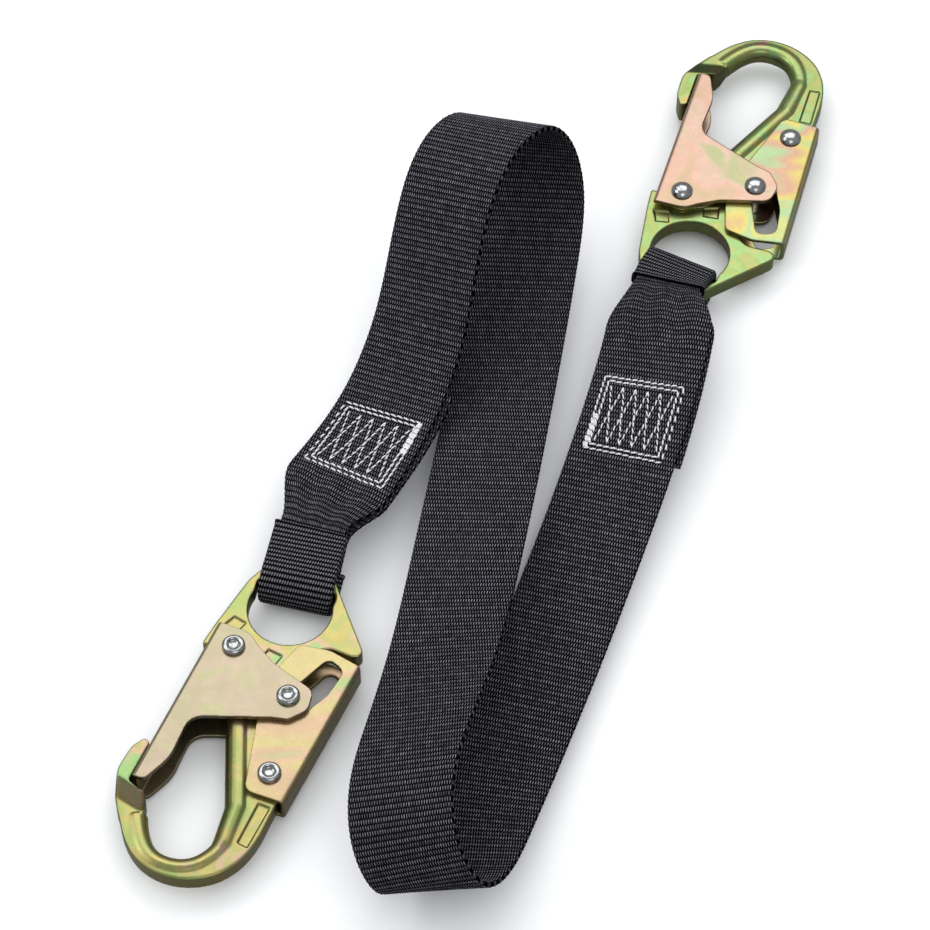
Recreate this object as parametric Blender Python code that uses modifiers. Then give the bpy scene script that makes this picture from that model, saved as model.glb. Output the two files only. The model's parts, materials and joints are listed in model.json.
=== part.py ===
"""Webbing lanyard with a double-locking snap hook sewn into a loop at each end.

The lanyard lies folded in an S on a level surface, z = 0, with both hooks flat on it. The two hooks are
the same assembly: a forged body, a gate, a lock lever, three rivets, a roller and two springs.

Each hook is drawn in its own frame, in millimetres: the gate pivot is the origin, +x runs to the gate's
lock rivet, +y towards the eye, and +z out of the face that carries the flared rivet ends.
"""

import math

import bmesh
import bpy
import numpy as np
from mathutils import Matrix, Vector

MM = 0.001
GAP = 0.3  # between pieces that touch
CLEAR = 70.0  # how far a cutter runs past what it cuts

# Hook: thicknesses along z, in mm
BODY_THICK = 6.4
NOSE_THICK = 9.8
LEVER_INNER = 7.2
LEVER_SHEET = 1.5
GATE_INNER = 10.9
GATE_SHEET = 1.8
FOLD_RADIUS = 1.6  # outer radius where a sheet turns from spine to cheek
LEVER_OUTER = LEVER_INNER + 2 * LEVER_SHEET
GATE_OUTER = GATE_INNER + 2 * GATE_SHEET

# Hook: axes of the rivets and of the eye's bar
LOCK_PIN = (26.8, 0.0)
LEVER_PIVOT = (43.1, -23.2)
EYE_CENTRE = (0.0, 25.0)
EYE_TILT = 122.0  # direction from the eye's centre to its bar, in degrees
EYE_HALF_WIDTH = 14.2
BAR_NEAR = 9.5  # from the eye's centre
BAR_FAR = 15.0

RIVET_RADIUS = 1.9
RIVET_HOLE_RADIUS = 2.2
RIVET_HEAD_RADIUS = 3.9
RIVET_DOME = 2.0
RIVET_FLARE = 1.4
ROLLER_RADIUS = 2.6
PIN_RADIUS = 1.5
SHANK_BEAD_RADIUS = 4.4
BOW_BEAD_RADIUS = 3.8

# Where the hooks lie: gate pivot in mm, turn about +Z in degrees, and face down or not
HOOK_PLACES = {
    "left": {"at": (-83.5, -86.2), "turn": -46.0, "face_down": False},
    "right": {"at": (71.7, 108.6), "turn": 5.0, "face_down": True},
}

# Webbing, in mm
WEB_WIDTH = 38.0
WEB_THICK = 2.0
LAYER_PITCH = WEB_THICK + 0.4
EYE_WEB_WIDTH = 23.0
LOOP_RADIUS = 6.7  # centre of the webbing round the bar
LOOP_STRAIGHT = 4.0
LOOP_RISE = {"left": 6.0, "right": 12.0}  # how far the webbing climbs as it leaves the bar, in degrees
LOOP_CLOSES_AT = 36.0
NARROWING = {"left": (19.0, 38.0), "right": (8.0, 34.0)}  # distances from the bar
TAIL_LENGTH = 85.0
TAIL_DRIFT = 1.5
SLEEVE_SHEET = 0.6
SLEEVE_GAP = 0.6
SLEEVE_CHAMFER = 0.3
SLEEVE_REACH = {"left": (22.0, 10.0), "right": (10.0, 16.0)}  # over and under the webbing, from the bar
STATION_STEP = 3.0

# Box stitching, as distances from the bar and across the webbing
STITCH_START = 47.0
STITCH_END = 76.5
STITCH_HALF_WIDTH = 14.2
STITCH_TRIM = 2.4
STITCH_PEAKS = 5
THREAD_RADIUS = 0.35

# Centre line of the webbing from the left hook to the right one: x, y, z, then the heading and the
# rise of the line across the webbing, in degrees
WEB_STATIONS = (
    (-57, -36, 19, -22, 0),
    (-48, -18, 19, -26, 5),
    (-33, 11, 19, -29, 12),
    (-23, 35, 31, -31, 16),
    (-16, 61, 53, -32, 19),
    (-6, 86, 66, -30, 18),
    (7, 104, 60, -27, 18),
    (15, 108, 43, -22, 17),
    (18, 101, 26, -17, 15),
    (15, 77, 14, -12, 12),
    (9, 40, 13, -9, 10),
    (-6, -53, 24, -7, 11),
    (-14, -97, 32, -7, 17),
    (-22, -131, 42, -7, 24),
    (-27, -156, 45, -7, 28),
    (-25, -174, 37, -9, 30),
    (-18, -180, 25, -11, 28),
    (-11, -171, 15, -14, 24),
    (-3, -149, 8, -16, 18),
    (20, -84, 6, -20, 9),
    (34, -45, 8, -20, 9),
    (56, 22, 18, -18, 8),
    (60.5, 40, 20, -18, 9),
    (63.5, 56, 20, -22, 5),
)

# The middle of the lanyard's box in the places above: the frame's origin is under it
MIDDLE = (3.273, 0.705)


# ---- scene, materials and small helpers -----------------------------------------------------------

def clear_scene():
    for obj in list(bpy.data.objects):
        bpy.data.objects.remove(obj, do_unlink=True)


def new_collection(name, hidden=False):
    collection = bpy.data.collections.new(name)
    bpy.context.scene.collection.children.link(collection)
    collection.hide_render = hidden
    return collection


def principled(name, colour, roughness, metallic):
    material = bpy.data.materials.new(name)
    material.use_nodes = True
    shader = material.node_tree.nodes["Principled BSDF"]
    shader.inputs["Base Color"].default_value = (*colour, 1.0)
    shader.inputs["Roughness"].default_value = roughness
    shader.inputs["Metallic"].default_value = metallic
    material.diffuse_color = (*colour, 1.0)
    return material


def polar(centre, radius, degrees):
    angle = math.radians(degrees)
    return (centre[0] + radius * math.cos(angle), centre[1] + radius * math.sin(angle))


def arc(centre, radius, start, end, steps):
    return [polar(centre, radius, start + (end - start) * i / steps) for i in range(steps + 1)]


def rounded(corners, steps=3):
    """The closed outline through (x, y, radius) corners, each rounded by an arc of that radius."""
    points = []
    for i, (x, y, radius) in enumerate(corners):
        here = Vector((x, y))
        before = (Vector(corners[i - 1][:2]) - here).normalized()
        after = (Vector(corners[(i + 1) % len(corners)][:2]) - here).normalized()
        half = before.angle(after) / 2
        if radius == 0 or math.pi / 2 - half < 0.02:
            points.append((x, y))
            continue
        reach = radius / math.tan(half)
        centre = here + (before + after).normalized() * radius / math.sin(half)
        first = here + before * reach - centre
        last = here + after * reach - centre
        sweep = first.angle_signed(last)
        for k in range(steps + 1):
            turn = Matrix.Rotation(-sweep * k / steps, 2)
            points.append(tuple(centre + turn @ first))
    return points


def smooth(points, steps=3):
    """An open Catmull-Rom curve through the points."""
    p = np.array(points, float)
    p = np.vstack((2 * p[0] - p[1], p, 2 * p[-1] - p[-2]))
    out = []
    for i in range(1, len(p) - 2):
        for k in range(steps):
            t = k / steps
            out.append(tuple(0.5 * (2 * p[i] + (p[i + 1] - p[i - 1]) * t
                                    + (2 * p[i - 1] - 5 * p[i] + 4 * p[i + 1] - p[i + 2]) * t ** 2
                                    + (3 * p[i] - p[i - 1] - 3 * p[i + 1] + p[i + 2]) * t ** 3)))
    return out + [tuple(p[-2])]


def mesh_of(obj):
    """Turns a curve object into a mesh object with its caps welded."""
    graph = bpy.context.evaluated_depsgraph_get()
    mesh = bpy.data.meshes.new_from_object(obj.evaluated_get(graph))
    name, matrix, collections = obj.name, obj.matrix_world.copy(), obj.users_collection
    bpy.data.objects.remove(obj, do_unlink=True)
    bm = bmesh.new()
    bm.from_mesh(mesh)
    bmesh.ops.remove_doubles(bm, verts=bm.verts, dist=1e-6)
    bmesh.ops.recalc_face_normals(bm, faces=bm.faces)
    bm.to_mesh(mesh)
    bm.free()
    made = bpy.data.objects.new(name, mesh)
    made.matrix_world = matrix
    for collection in collections:
        collection.objects.link(made)
    return made


def plate(name, loops, thickness, collection, middle=0.0):
    """A flat piece lying along z: the first loop is its outline, and the others are holes in it."""
    curve = bpy.data.curves.new(name, "CURVE")
    curve.dimensions = "2D"
    curve.fill_mode = "BOTH"
    curve.extrude = thickness / 2 * MM
    for loop in loops:
        spline = curve.splines.new("POLY")
        spline.points.add(len(loop) - 1)
        for point, (x, y) in zip(spline.points, loop):
            point.co = (x * MM, y * MM, 0, 1)
        spline.use_cyclic_u = True
    obj = bpy.data.objects.new(name, curve)
    obj.location.z = middle * MM
    collection.objects.link(obj)
    bpy.context.view_layer.update()
    return mesh_of(obj)


def wire(name, points, radius, collection, radii=None, bevel_resolution=1):
    """A round wire or bar along (x, y, z) points in mm. radii scales it point by point."""
    curve = bpy.data.curves.new(name, "CURVE")
    curve.dimensions = "3D"
    curve.bevel_depth = radius * MM
    curve.bevel_resolution = bevel_resolution
    curve.use_fill_caps = True
    spline = curve.splines.new("POLY")
    spline.points.add(len(points) - 1)
    for i, (point, place) in enumerate(zip(spline.points, points)):
        point.co = (*(c * MM for c in place), 1)
        point.radius = radii[i] if radii else 1.0
    obj = bpy.data.objects.new(name, curve)
    collection.objects.link(obj)
    bpy.context.view_layer.update()
    return mesh_of(obj)


def prism(name, section, start, heading, length, collection):
    """A bar in the hook plane: its (to the left, z) section is extruded along this heading both ways."""
    bar = plate(name, [section], length, collection)
    x, y = polar((0, 0), 1, heading)
    axes = Matrix(((-y, 0, x, start[0] * MM), (x, 0, y, start[1] * MM), (0, 1, 0, 0), (0, 0, 0, 1)))
    bar.data.transform(axes)
    return bar


def turned(name, profile, collection, steps=20):
    """A turned piece about z from (radius, z) points that run down its outer side, top to bottom."""
    mesh = bpy.data.meshes.new(name)
    verts = [(r * MM, 0, z * MM) for r, z in profile]
    mesh.from_pydata(verts, [(i, i + 1) for i in range(len(verts) - 1)], [])
    obj = bpy.data.objects.new(name, mesh)
    collection.objects.link(obj)
    screw = obj.modifiers.new("Screw", "SCREW")
    screw.steps = screw.render_steps = steps
    screw.use_merge_vertices = True
    screw.merge_threshold = 1e-6
    return obj


def boolean(obj, other, operation):
    modifier = obj.modifiers.new(operation.title(), "BOOLEAN")
    modifier.operation = operation
    modifier.solver = "EXACT"
    modifier.object = other
    other.display_type = "WIRE"


def shift_mesh(obj, offset):
    obj.data.transform(Matrix.Translation(Vector(offset) * MM))


def set_smooth(obj, degrees=40):
    obj.data.shade_smooth()
    obj.data.set_sharp_from_angle(angle=math.radians(degrees))


# ---- hook frame -----------------------------------------------------------------------------------

def eye_point(along_bar, towards_bar):
    """A point given from the eye's centre, along the bar and towards it."""
    x, y = polar(EYE_CENTRE, towards_bar, EYE_TILT)
    return polar((x, y), along_bar, EYE_TILT - 90)


def hook_matrix(side):
    place = HOOK_PLACES[side]
    x, y = place["at"]
    lowest = GATE_OUTER / 2 + GAP + (RIVET_FLARE if place["face_down"] else RIVET_DOME)
    matrix = Matrix.Translation(Vector((x - MIDDLE[0], y - MIDDLE[1], lowest)) * MM)
    matrix @= Matrix.Rotation(math.radians(place["turn"]), 4, "Z")
    if place["face_down"]:
        matrix @= Matrix.Rotation(math.pi, 4, "X")
    return matrix


def bar_axis():
    return eye_point(0, (BAR_NEAR + BAR_FAR) / 2)


# ---- forged hook body -----------------------------------------------------------------------------

BOW_INNER = (
    (46.5, -48.7), (48.0, -53.0), (48.0, -57.2), (46.9, -61.0), (44.3, -64.1), (40.4, -66.3),
    (36.8, -66.8), (33.2, -65.8), (29.2, -63.5), (25.4, -60.6), (21.8, -57.8),
)
BOW_OUTER = (
    (13.5, -62.9), (17.3, -66.0), (22.0, -69.0), (27.0, -71.8), (32.8, -73.7), (38.0, -74.1),
    (43.5, -73.1), (48.4, -70.8), (52.5, -67.6), (56.0, -63.3), (58.4, -58.3), (59.4, -52.0),
    (58.9, -46.0), (57.2, -40.0), (54.8, -34.5), (52.0, -28.0),
)
SHANK_FOOT = (41.8, -41.7)  # where the straight inner edge of the shank meets the bow
SHANK_HEADING = 137.5  # degrees, from the bow towards the gate pivot
PIVOT_EAR_RADIUS = 6.8
LEVER_BOSS_RADIUS = 7.2
NOSE_HEADING = -78.0  # the way the nose slopes, in degrees
NOSE_SLOPE = (59.5, 65.8)  # where the slope starts and ends, from the gate pivot
RIM_SETBACK = 1.2  # the flat rim stops short of the bead's inner edge
BEAD_INSET = 0.92  # the bead's centre line lies this share of its radius inside the bow's inner edge
SPRING_POCKET_RADIUS = 5.2
SPRING_POCKET_FLOOR = 0.9
SPRING_CHANNEL = ((43.0, -25.4), (55.0, -21.0), (50.0, -10.0), (40.0, -19.0))


def shank_point(along, outward):
    x, y = polar(SHANK_FOOT, along, SHANK_HEADING)
    return polar((x, y), outward, SHANK_HEADING - 90)


def offset_line(points, distance):
    """The open line moved sideways, to the left of its own direction."""
    p = np.array(points, float)
    ahead = np.gradient(p, axis=0)
    ahead /= np.linalg.norm(ahead, axis=1)[:, None]
    return [tuple(q) for q in p + distance * np.c_[-ahead[:, 1], ahead[:, 0]]]


def body_outline():
    ear_and_eye = rounded((
        (-6.3, -2.6, 0), (-10.3, -5.6, 0.8), (-12.9, 2.5, 10), (-18.4, 23.0, 12),
        (*eye_point(-12.4, BAR_FAR), 4.0), (*eye_point(11.3, BAR_FAR), 3.5),
        (32.4, 29.7, 2.4), (28.0, 26.6, 3), (20.4, 23.6, 5), (16.3, 14.0, 6), (19.6, 1.0, 5),
        (23.5, -5.5, 4), (35.0, -12.6, 4), (41.0, -16.3, 0),
    ))[1:-1]
    boss = arc(LEVER_PIVOT, LEVER_BOSS_RADIUS, 98, 2, 6)
    bow = smooth(BOW_OUTER, 2)[::-1]
    nose_root = [(12.2, -60.4), (15.0, -59.4), (20.5, -60.4)]
    inner = offset_line(smooth(BOW_INNER[::-1], 2), -RIM_SETBACK)[1:]
    shank = [shank_point(0, RIM_SETBACK), shank_point(49, RIM_SETBACK)]
    pivot = arc((0, 0), PIVOT_EAR_RADIUS, -64, -158, 7)
    return ear_and_eye + boss + bow + nose_root + inner + shank + pivot


def eye_opening():
    corner = 2.0
    side = EYE_HALF_WIDTH - 0.6
    circle = arc(EYE_CENTRE, EYE_HALF_WIDTH, EYE_TILT + 72, EYE_TILT + 288, 22)
    right = arc(eye_point(side - corner, BAR_NEAR - corner), corner, EYE_TILT - 90, EYE_TILT, 3)
    left = arc(eye_point(corner - side, BAR_NEAR - corner), corner, EYE_TILT, EYE_TILT + 90, 3)
    return circle + right + left


def nose_outline():
    return rounded((
        (7.4, -43.4, 0.7), (4.7, -42.8, 1.2), (4.1, -48.5, 8), (7.2, -57.2, 10), (13.9, -64.2, 10),
        (19.7, -67.9, 1), (25.8, -62.4, 1), (22.3, -58.4, 2), (19.8, -56.4, 1.4), (17.7, -57.1, 1),
        (13.1, -57.3, 0.4),
    ))


def nose_taper(name, cutters):
    """The side view of the nose, which slopes down to the rim of the bow."""
    thick, thin = NOSE_THICK / 2, BODY_THICK / 2 - 0.2
    start, end = NOSE_SLOPE
    section = [(-CLEAR, thick), (start, thick), (end, thin), (end + CLEAR, thin)]
    section += [(u, -z) for u, z in section[::-1]]
    return prism(f"{name}_nose_taper", section, (0, 0), NOSE_HEADING - 90, 2 * CLEAR, cutters)


def bead_line():
    """Centre line and relative thickness of the round bead along the shank and the bow."""
    bow = offset_line(smooth(BOW_INNER[:-1], 2), BEAD_INSET * BOW_BEAD_RADIUS)
    shank = [shank_point(along, 0.95 * SHANK_BEAD_RADIUS) for along in (37, 24, 12, 1)]
    line = shank + bow[1:]
    thin = BOW_BEAD_RADIUS / SHANK_BEAD_RADIUS
    radii = [1.0] * len(shank) + [thin] * (len(line) - len(shank))
    radii[len(shank)] = (1 + thin) / 2
    return [(x, y, 0) for x, y in line], radii


def hook_body(prefix, parts, cutters):
    holes = [arc(centre, RIVET_HOLE_RADIUS, 0, 345, 15) for centre in ((0, 0), LEVER_PIVOT)]
    name = f"{prefix}_hook_body"
    body = plate(name, [body_outline(), eye_opening()] + holes, BODY_THICK, parts)
    nose = plate(f"{name}_nose", [nose_outline()], NOSE_THICK, cutters)
    boolean(nose, nose_taper(name, cutters), "INTERSECT")
    line, radii = bead_line()
    bead = wire(f"{name}_bead", line, SHANK_BEAD_RADIUS, cutters, radii, bevel_resolution=6)
    boolean(body, nose, "UNION")
    boolean(body, bead, "UNION")
    pocket = turned(f"{name}_spring_pocket", (
        (0, BODY_THICK), (SPRING_POCKET_RADIUS, BODY_THICK), (SPRING_POCKET_RADIUS, SPRING_POCKET_FLOOR),
        (0, SPRING_POCKET_FLOOR)), cutters)
    pocket.location = Vector((*LEVER_PIVOT, 0)) * MM
    deep, middle = BODY_THICK - SPRING_POCKET_FLOOR, (BODY_THICK + SPRING_POCKET_FLOOR) / 2
    channel = plate(f"{name}_spring_channel", [SPRING_CHANNEL], deep, cutters, middle)
    boolean(body, pocket, "DIFFERENCE")
    boolean(body, channel, "DIFFERENCE")
    return body


# ---- gate and lock lever --------------------------------------------------------------------------

GATE_TOP = (-11.0, 3.0)
GATE_TIP = (13.2, -56.2)
SPINE_START = 0.16  # share of the gate's length above which its spine is cut away
LEVER_TOP = (34.3, 25.6)
LEVER_FOOT = (54.6, -27.2)


def between(a, b, share):
    return (a[0] + (b[0] - a[0]) * share, a[1] + (b[1] - a[1]) * share)


def inside_of(a, b, share, depth):
    """A point on the line a-b at this share of its length, moved to its left by depth."""
    x, y = between(a, b, share)
    length = math.dist(a, b)
    return (x - depth * (b[1] - a[1]) / length, y + depth * (b[0] - a[0]) / length)


def fold(obj, start, end, outer, cutters):
    """Rounds a folded sheet where its spine, along the line start-end, turns into its cheeks."""
    heading = math.degrees(math.atan2(end[1] - start[1], end[0] - start[0]))
    section = [(CLEAR, -outer / 2), (CLEAR, outer / 2)]
    section += arc((FOLD_RADIUS, outer / 2 - FOLD_RADIUS), FOLD_RADIUS, 90, 180, 4)
    section += arc((FOLD_RADIUS, FOLD_RADIUS - outer / 2), FOLD_RADIUS, 180, 270, 4)
    bar = prism(f"{obj.name}_fold", section, start, heading, 4 * CLEAR, cutters)
    boolean(obj, bar, "INTERSECT")


def gate_outline():
    return rounded((
        (*GATE_TOP, 0.6), (*GATE_TIP, 1.0), (17.4, -54.6, 2.6), (17.1, -43.0, 14), (10.0, -28.0, 6),
        (28.6, -9.6, 0), (33.2, -6.0, 3), (35.2, 1.0, 5), (31.0, 7.3, 4), (13.5, 5.2, 6), (5.0, 6.2, 8),
        (0.0, 7.6, 8),
    ), 4)


def gate(prefix, parts, cutters):
    name = f"{prefix}_gate"
    holes = [arc(centre, RIVET_HOLE_RADIUS, 0, 345, 15) for centre in ((0, 0), LOCK_PIN)]
    obj = plate(name, [gate_outline()] + holes, GATE_OUTER, parts)
    channel = [
        inside_of(GATE_TOP, GATE_TIP, 1.2, GATE_SHEET), (CLEAR, -CLEAR), (CLEAR, CLEAR), (-CLEAR, CLEAR),
        inside_of(GATE_TOP, GATE_TIP, SPINE_START, -CLEAR / 3),
        inside_of(GATE_TOP, GATE_TIP, SPINE_START, GATE_SHEET),
    ]
    inner = plate(f"{name}_channel", [channel], GATE_INNER, cutters)
    fold(obj, GATE_TOP, GATE_TIP, GATE_OUTER, cutters)
    boolean(obj, inner, "DIFFERENCE")
    return obj


def lever_outline():
    return rounded((
        (13.6, 17.0, 3), (22.5, 22.8, 8), (*LEVER_TOP, 0.8), (*LEVER_FOOT, 0.6), (42.0, -33.2, 3.5),
        (25.8, -13.2, 5), (16.5, -3.0, 5),
    ), 4)


def lever_window():
    return rounded((
        (23.7, -3.4, 2.4), (24.7, 8.0, 8), (24.4, 20.3, 2.6), (31.6, 20.6, 3), (34.6, 10.0, 14),
        (34.0, -3.4, 2.4),
    ))


def lock_lever(prefix, parts, cutters):
    name = f"{prefix}_lock_lever"
    pivot_hole = arc(LEVER_PIVOT, RIVET_HOLE_RADIUS, 0, 345, 15)
    obj = plate(name, [lever_outline(), lever_window(), pivot_hole], LEVER_OUTER, parts)
    channel = [
        inside_of(LEVER_TOP, LEVER_FOOT, -0.2, -LEVER_SHEET), (-CLEAR, CLEAR), (-CLEAR, -CLEAR),
        (LEVER_FOOT[0], -CLEAR),
        inside_of(LEVER_TOP, LEVER_FOOT, 1.1, -LEVER_SHEET),
    ]
    inner = plate(f"{name}_channel", [channel], LEVER_INNER, cutters)
    fold(obj, LEVER_FOOT, LEVER_TOP, LEVER_OUTER, cutters)
    boolean(obj, inner, "DIFFERENCE")
    return obj


# ---- rivets, roller and springs -------------------------------------------------------------------

SPRING_CLEARANCE = 0.15
GATE_SPRING_WIRE = 0.35
GATE_SPRING_RADIUS = 5.9
GATE_SPRING_BODY_LEG = ((12.6, 2.2), (8.0, 5.4))
GATE_SPRING_SPINE_END = (1.2, -16.0)
LEVER_SPRING_WIRE = 0.4
LEVER_SPRING_RADIUS = 3.9
LEVER_SPRING_BODY_END = (5.2, 0.9)
LEVER_SPRING_SPINE_LEG = ((3.2, 5.2), (4.0, 9.0))


def rivet(name, grip, shank_radius, parts):
    """A rivet through pieces of total thickness grip: flared and dimpled at +z, domed at -z."""
    top = grip / 2 + GAP
    head = RIVET_HEAD_RADIUS
    flare = [
        (0, top + 0.5), (1.5, top + 0.5), (2.3, top + RIVET_FLARE), (3.1, top + RIVET_FLARE),
        (head, top + 0.7), (head, top), (shank_radius, top), (shank_radius, -top), (head, -top),
    ]
    dome = [(head * math.cos(a), -top - 0.4 - (RIVET_DOME - 0.4) * math.sin(a))
            for a in np.radians((0, 30, 60))]
    return turned(name, flare + dome + [(0, -top - RIVET_DOME)], parts, steps=16)


def roller(name, parts):
    """The bush that keeps the gate's cheeks apart on its lock rivet."""
    half = GATE_INNER / 2 - GAP
    loops = [arc((0, 0), radius, 0, 345, 15) for radius in (ROLLER_RADIUS, PIN_RADIUS + 0.3)]
    return plate(name, loops, 2 * half, parts)


def coil(centre, radius, z_from, z_to, start, turns):
    count = round(turns * 12)
    return [(*polar(centre, radius, start + 360 * turns * i / count), z_from + (z_to - z_from) * i / count)
            for i in range(count + 1)]


def gate_spring(name, parts):
    """Lies on the pivot rivet between the body and the gate's cheek, and pushes the gate's spine out."""
    top = -BODY_THICK / 2 - SPRING_CLEARANCE - GATE_SPRING_WIRE
    low = -GATE_INNER / 2 + SPRING_CLEARANCE + GATE_SPRING_WIRE
    body_leg = [(*end, top) for end in GATE_SPRING_BODY_LEG]
    turns = coil((0, 0), GATE_SPRING_RADIUS, top, low, 60, 1.75)
    spine_leg = [(*GATE_SPRING_SPINE_END, low)]
    return wire(name, body_leg + turns[:-1] + spine_leg, GATE_SPRING_WIRE, parts)


def lever_spring(name, parts):
    """Lies on the lever's pivot rivet in the body's pocket, and pushes the lever's spine out."""
    low = SPRING_POCKET_FLOOR + SPRING_CLEARANCE + LEVER_SPRING_WIRE
    top = BODY_THICK / 2 - SPRING_CLEARANCE - LEVER_SPRING_WIRE
    turns = coil((0, 0), LEVER_SPRING_RADIUS, low, top, -30, 1.25)
    body_leg = [(*LEVER_SPRING_BODY_END, low)]
    spine_leg = [(*end, top) for end in LEVER_SPRING_SPINE_LEG]
    return wire(name, body_leg + turns + spine_leg, LEVER_SPRING_WIRE, parts)


def place(obj, side, parent, pivot=(0.0, 0.0)):
    """Puts a piece drawn in the hook frame into the world, with its origin on the pivot."""
    world = hook_matrix(side) @ Matrix.Translation(Vector((*pivot, 0)) * MM)
    bpy.context.view_layer.update()
    obj.parent = parent
    obj.matrix_parent_inverse = parent.matrix_world.inverted()
    obj.matrix_world = world @ obj.matrix_world


def empty(name, matrix, collection, parent=None):
    obj = bpy.data.objects.new(name, None)
    collection.objects.link(obj)
    obj.parent = parent
    obj.matrix_world = matrix
    bpy.context.view_layer.update()
    return obj


def build_hook(side, parts, cutters, materials):
    frame = hook_matrix(side)
    swing = empty(f"{side}_hook_axis", frame @ Matrix.Translation(Vector((*bar_axis(), 0)) * MM), parts)
    body = hook_body(side, parts, cutters)
    gate_piece = gate(side, parts, cutters)
    lever = lock_lever(side, parts, cutters)
    shift_mesh(lever, (-LEVER_PIVOT[0], -LEVER_PIVOT[1], 0))
    lock_rivet = rivet(f"{side}_gate_lock_rivet", GATE_OUTER, PIN_RADIUS, parts)
    small = (
        (rivet(f"{side}_gate_pivot_rivet", GATE_OUTER, RIVET_RADIUS, parts), swing, (0, 0), "rivet"),
        (rivet(f"{side}_lever_pivot_rivet", LEVER_OUTER, RIVET_RADIUS, parts), swing, LEVER_PIVOT, "rivet"),
        (lock_rivet, gate_piece, LOCK_PIN, "rivet"),
        (roller(f"{side}_lock_roller", parts), gate_piece, LOCK_PIN, "rivet"),
        (gate_spring(f"{side}_gate_spring", parts), swing, (0, 0), "spring"),
        (lever_spring(f"{side}_lever_spring", parts), swing, LEVER_PIVOT, "spring"),
    )
    for cutter in cutters.objects:
        if cutter.name.startswith(side):
            place(cutter, side, swing)
    place(body, side, swing)
    place(gate_piece, side, swing)
    place(lever, side, swing, LEVER_PIVOT)
    for piece, parent, pivot, finish in small:
        place(piece, side, parent, pivot)
        piece.data.materials.append(materials[finish])
        set_smooth(piece)
    for piece, finish in ((body, "forging"), (gate_piece, "gate"), (lever, "lever")):
        piece.data.materials.append(materials[finish])
        set_smooth(piece)


# ---- webbing --------------------------------------------------------------------------------------

def natural_spline(knots, values, at):
    """A natural cubic spline through the values, one column for each coordinate, sampled at these places."""
    gaps = np.diff(knots)
    slopes = np.diff(values, axis=0) / gaps[:, None]
    count = len(knots)
    system = np.eye(count)
    right = np.zeros_like(values)
    for i in range(1, count - 1):
        system[i, i - 1:i + 2] = gaps[i - 1], 2 * (gaps[i - 1] + gaps[i]), gaps[i]
        right[i] = 6 * (slopes[i] - slopes[i - 1])
    bend = np.linalg.solve(system, right)
    i = np.clip(np.searchsorted(knots, at) - 1, 0, count - 2)
    gap = gaps[i][:, None]
    ahead = (at - knots[i])[:, None]
    behind = gap - ahead
    return (bend[i] * behind ** 3 / (6 * gap) + bend[i + 1] * ahead ** 3 / (6 * gap)
            + (values[i] / gap - bend[i] * gap / 6) * behind
            + (values[i + 1] / gap - bend[i + 1] * gap / 6) * ahead)


def rib_direction(heading, rise):
    heading, rise = math.radians(heading), math.radians(rise)
    return (math.cos(rise) * math.cos(heading), math.cos(rise) * math.sin(heading), math.sin(rise))


def smoothstep(x):
    x = min(max(x, 0.0), 1.0)
    return x * x * (3 - 2 * x)


def loop_frame(side):
    """Bar centre in mm, with the loop's directions: out of the eye, across the webbing, and upwards."""
    frame = hook_matrix(side)
    turn = frame.to_3x3()
    centre = frame @ (Vector((*bar_axis(), 0)) * MM) / MM
    outward = turn @ Vector((*polar((0, 0), 1, EYE_TILT), 0))
    across = turn @ Vector((*polar((0, 0), 1, EYE_TILT - 90), 0))
    rise = math.radians(LOOP_RISE[side])
    upward = math.cos(rise) * Vector((0, 0, 1)) - math.sin(rise) * outward
    outward = math.cos(rise) * outward + math.sin(rise) * Vector((0, 0, 1))
    return np.array(centre), np.array(outward), np.array(across), np.array(upward)


def centre_line():
    """Samples of the webbing's upper layer from bar to bar: places, directions across, normals, distances."""
    ends = []
    for side in ("left", "right"):
        bar, outward, across, upward = loop_frame(side)
        top = bar + LOOP_RADIUS * upward
        ends.append(([top, top + LOOP_STRAIGHT * outward], [across, across]))
    (left, left_ribs), (right, right_ribs) = ends
    stations = [np.subtract(station[:3], (*MIDDLE, 0)) for station in WEB_STATIONS]
    places = np.array(left + stations + right[::-1])
    ribs = np.array(left_ribs + [rib_direction(*s[3:]) for s in WEB_STATIONS] + right_ribs)
    knots = np.r_[0, np.cumsum(np.linalg.norm(np.diff(places, axis=0), axis=1))]
    at = np.linspace(0, knots[-1], round(knots[-1] / STATION_STEP) + 1)
    path = natural_spline(knots, places, at)
    ahead = np.gradient(path, axis=0)
    ahead /= np.linalg.norm(ahead, axis=1)[:, None]
    across = natural_spline(knots, ribs, at)
    across -= (across * ahead).sum(1)[:, None] * ahead
    across /= np.linalg.norm(across, axis=1)[:, None]
    distance = np.r_[0, np.cumsum(np.linalg.norm(np.diff(path, axis=0), axis=1))]
    return path, across, np.cross(across, ahead), distance


def end_layers(path, across, normals, distance, side):
    """Sections of the folded end, from the cut tail under the webbing, round the bar, to its top."""
    bar, outward, across_bar, upward = loop_frame(side)
    lower = []
    for place, rib, normal, along in zip(path, across, normals, distance):
        if STATION_STEP / 2 < along < TAIL_LENGTH:
            closing = smoothstep(along / LOOP_CLOSES_AT)
            apart = 2 * LOOP_RADIUS + (LAYER_PITCH - 2 * LOOP_RADIUS) * closing
            drift = TAIL_DRIFT * smoothstep(along / TAIL_LENGTH)
            lower.append((place - apart * normal + drift * rib, rib, -normal, width_at(along, side)))
    ahead = np.gradient(np.array([section[0] for section in lower]), axis=0)
    sections = []
    for (place, rib, facing, width), direction in zip(lower, ahead):
        normal = np.cross(rib, direction)
        normal *= math.copysign(1, normal @ facing) / np.linalg.norm(normal)
        sections.insert(0, (place, rib, normal, width))
    for degrees in range(-90, 90, 20):
        angle = math.radians(degrees)
        away = -math.cos(angle) * outward + math.sin(angle) * upward
        sections.append((bar + LOOP_RADIUS * away, across_bar, away, EYE_WEB_WIDTH))
    return sections


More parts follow.
